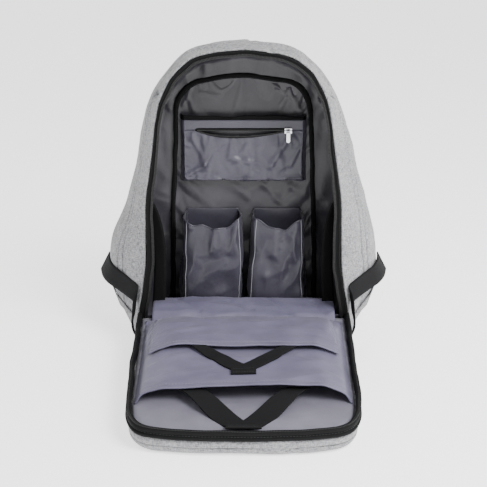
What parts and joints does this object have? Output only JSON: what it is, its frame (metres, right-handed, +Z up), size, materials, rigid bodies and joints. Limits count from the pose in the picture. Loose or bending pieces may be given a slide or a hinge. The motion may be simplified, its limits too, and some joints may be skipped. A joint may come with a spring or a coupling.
{
  "type": "anti theft backpack",
  "caption": "Padded day backpack standing with its zipped back panel folded down flat, showing a lined cavity with pouches and two sleeves with V straps.",
  "frame": {"origin": "on the ground, under the middle of the part's bounding box", "axes": "+Z up, -Y towards the fold-down panel's far end, +X to the right as the open bag is looked into"},
  "size_m": [0.4072, 0.4835, 0.411],
  "materials": {
    "melange_polyester": "light grey melange polyester weave, padded",
    "dark_lining": "dark grey satin lining, softly creased",
    "pale_lining": "lavender grey satin lining",
    "black_zip_tape": "black woven zip tape and binding with coil teeth",
    "black_webbing": "black ribbed webbing",
    "black_plastic": "moulded, satin black",
    "plated_zinc": "plated zip slider and pull"
  },
  "bodies": {
    "bag": {"shell": "melange_polyester", "cavity_lining": "dark_lining", "opening_zip": "black_zip_tape", "organiser_board": "dark_lining", "board_binding": "black_zip_tape", "flat_pocket": "dark_lining", "pocket_divider": "dark_lining", "slip_lip": "black_zip_tape", "slit_zip_tape": "black_zip_tape", "zip_slider": "plated_zinc", "pouch_left": "dark_lining", "pouch_right": "dark_lining", "sill_cloth": "pale_lining", "panel_pad": "melange_polyester", "panel_lining": "pale_lining", "panel_zip": "black_zip_tape", "laptop_sleeve": "pale_lining", "tablet_sleeve": "pale_lining", "laptop_strap": "black_webbing", "tablet_strap": "black_webbing", "stay_left": "black_webbing", "carry_strap_left": "melange_polyester", "strap_buckle_left": "black_plastic", "strap_webbing_left": "black_webbing", "strap_wing_left": "melange_polyester", "stay_right": "black_webbing", "carry_strap_right": "melange_polyester", "strap_buckle_right": "black_plastic", "strap_webbing_right": "black_webbing", "strap_wing_right": "melange_polyester"},
    "pull": {"zip_pull": "plated_zinc"}
  },
  "joints": [
    {"name": "zip_pull_swing", "type": "hinge", "parent": "bag", "child": "pull", "pos_m": [0.062, 0.1843, 0.28], "axis": [-1, 0, 0], "range_deg": [0, 165]}
  ]
}
